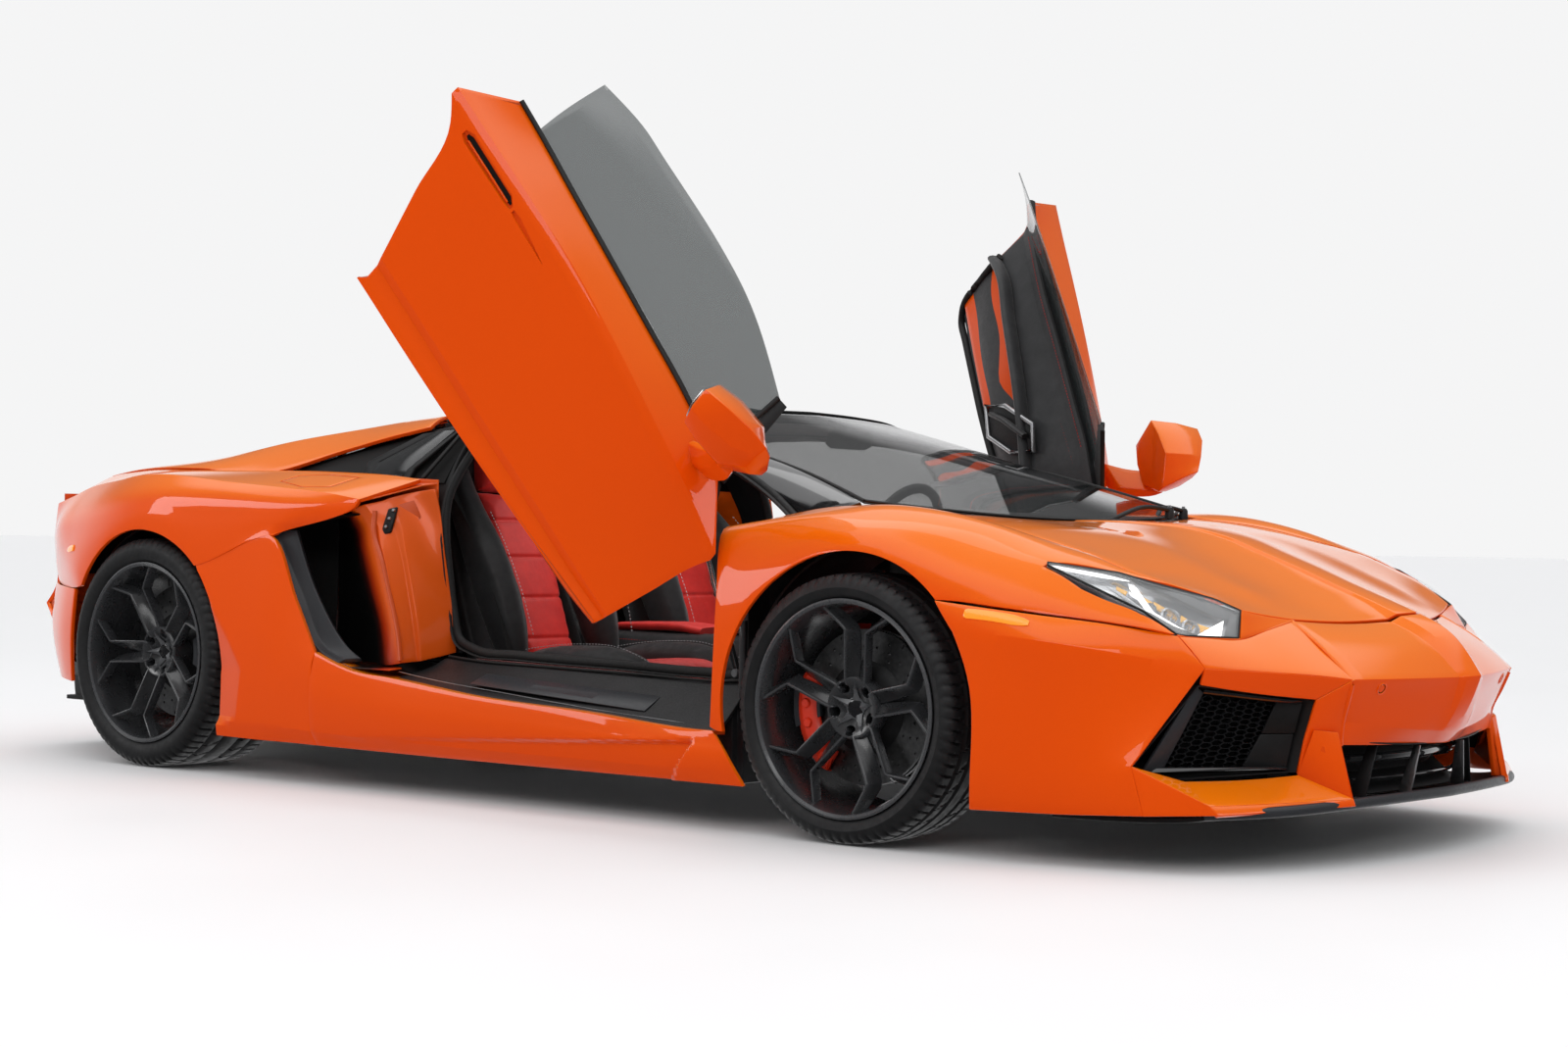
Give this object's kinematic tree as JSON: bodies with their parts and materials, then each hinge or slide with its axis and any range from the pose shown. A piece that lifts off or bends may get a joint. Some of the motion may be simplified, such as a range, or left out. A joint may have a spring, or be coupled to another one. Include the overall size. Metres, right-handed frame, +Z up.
{
  "type": "mid-engined two-seat supercar with scissor doors",
  "caption": "Low wedge-shaped two-seat supercar with raised scissor doors, mid engine, front luggage lid, louvred engine lid and steered front wheels.",
  "frame": {"origin": "on the ground under the centre of the overall length and width", "axes": "+X towards the nose, +Y towards the left side of the car, +Z up"},
  "size_m": [4.778, 2.9902, 1.9203],
  "materials": {
    "paint": "gloss",
    "black_gloss": "gloss",
    "black_plastic": "matt",
    "carbon": "satin",
    "glass_dark": "gloss",
    "lens_clear": "gloss",
    "lens_red": "gloss",
    "tyre": "matt",
    "rim_black": "gloss",
    "alloy": "satin",
    "leather_black": "matt",
    "plate": "satin",
    "steel": "brushed"
  },
  "bodies": {
    "body_shell": {"arch_liners": "black_plastic", "cabin_frame": "black_gloss", "centre_console": "black_plastic", "chassis_tub": "carbon", "dashboard": "leather_black", "engine_block": "alloy", "exhaust": "steel", "front_bumper": "paint", "front_intake_grilles": "black_plastic", "front_splitter": "black_plastic", "front_subframe": "alloy", "front_wings": "paint", "headlamps": "lens_clear", "intake_blades": "black_plastic", "intake_ducts": "black_plastic", "plate_bracket": "plate", "quarter_vents": "black_gloss", "rear_bumper": "paint", "rear_diffuser": "black_plastic", "rear_knuckles": "alloy", "rear_subframe": "alloy", "rear_wings": "paint", "roof_buttresses": "paint", "roof_panels": "black_gloss", "seats": "leather_black", "side_skirts": "paint", "tail_lamps": "lens_red", "windscreen": "glass_dark"},
    "front_lid": {"front_lid": "paint"},
    "engine_lid": {"engine_lid": "black_plastic"},
    "fuel_flap": {"fuel_flap": "paint"},
    "rear_spoiler": {"rear_spoiler": "paint"},
    "steering_wheel": {"steering_wheel": "leather_black"},
    "door_left": {"door_left": "paint", "door_glass_left": "glass_dark", "door_mirror_left": "paint"},
    "knuckle_left": {"knuckle_front_left": "alloy"},
    "door_right": {"door_right": "paint", "door_glass_right": "glass_dark", "door_mirror_right": "paint"},
    "knuckle_right": {"knuckle_front_right": "alloy"},
    "wheel_front_left": {"tyre_front_left": "tyre", "rim_front_left": "rim_black"},
    "wheel_front_right": {"tyre_front_right": "tyre", "rim_front_right": "rim_black"},
    "wheel_rear_left": {"tyre_rear_left": "tyre", "rim_rear_left": "rim_black"},
    "wheel_rear_right": {"tyre_rear_right": "tyre", "rim_rear_right": "rim_black"}
  },
  "joints": [
    {"name": "steer_left", "type": "hinge", "parent": "body_shell", "child": "knuckle_left", "pos_m": [1.2, 0.782, 0.3305], "axis": [0, 0, 1], "range_deg": [-30, 30]},
    {"name": "front_wheel_spin_left", "type": "hinge", "parent": "knuckle_left", "child": "wheel_front_left", "pos_m": [1.2, 0.858, 0.3305], "axis": [0, 1, 0], "continuous": true},
    {"name": "steer_right", "type": "hinge", "parent": "body_shell", "child": "knuckle_right", "pos_m": [1.2, -0.782, 0.3305], "axis": [0, 0, 1], "range_deg": [-30, 30]},
    {"name": "front_wheel_spin_right", "type": "hinge", "parent": "knuckle_right", "child": "wheel_front_right", "pos_m": [1.2, -0.858, 0.3305], "axis": [0, 1, 0], "continuous": true},
    {"name": "rear_wheel_spin_left", "type": "hinge", "parent": "body_shell", "child": "wheel_rear_left", "pos_m": [-1.5, 0.833, 0.355], "axis": [0, 1, 0], "continuous": true},
    {"name": "rear_wheel_spin_right", "type": "hinge", "parent": "body_shell", "child": "wheel_rear_right", "pos_m": [-1.5, -0.833, 0.355], "axis": [0, 1, 0], "continuous": true},
    {"name": "door_hinge_left", "type": "hinge", "parent": "body_shell", "child": "door_left", "pos_m": [0.854, 0.9, 0.663], "axis": [0.0323, 0.8986, -0.4376], "range_deg": [-59, 0]},
    {"name": "door_hinge_right", "type": "hinge", "parent": "body_shell", "child": "door_right", "pos_m": [0.854, -0.9, 0.663], "axis": [-0.0323, 0.8986, 0.4376], "range_deg": [-59, 0]},
    {"name": "steering_wheel_turn", "type": "hinge", "parent": "body_shell", "child": "steering_wheel", "pos_m": [0.4, 0.365, 0.735], "axis": [-0.9207, 0, 0.3903], "range_deg": [-405, 405]},
    {"name": "front_lid_hinge", "type": "hinge", "parent": "body_shell", "child": "front_lid", "pos_m": [1.225, 0, 0.79], "axis": [0, -1, 0], "range_deg": [0, 50]},
    {"name": "engine_lid_hinge", "type": "hinge", "parent": "body_shell", "child": "engine_lid", "pos_m": [-0.66, 0, 1.085], "axis": [0, 1, 0], "range_deg": [0, 50]},
    {"name": "fuel_flap_hinge", "type": "hinge", "parent": "body_shell", "child": "fuel_flap", "pos_m": [-0.72, -0.86, 0.875], "axis": [0, 1, 0], "range_deg": [0, 75]},
    {"name": "spoiler_hinge", "type": "hinge", "parent": "body_shell", "child": "rear_spoiler", "pos_m": [-2.05, 0, 0.875], "axis": [0, 1, 0], "range_deg": [0, 11]}
  ],
  "couplings": [
    {"joint": "steer_left", "follows": "steer_right", "ratio": 1},
    {"joint": "steering_wheel_turn", "follows": "steer_right", "ratio": 13.5}
  ]
}
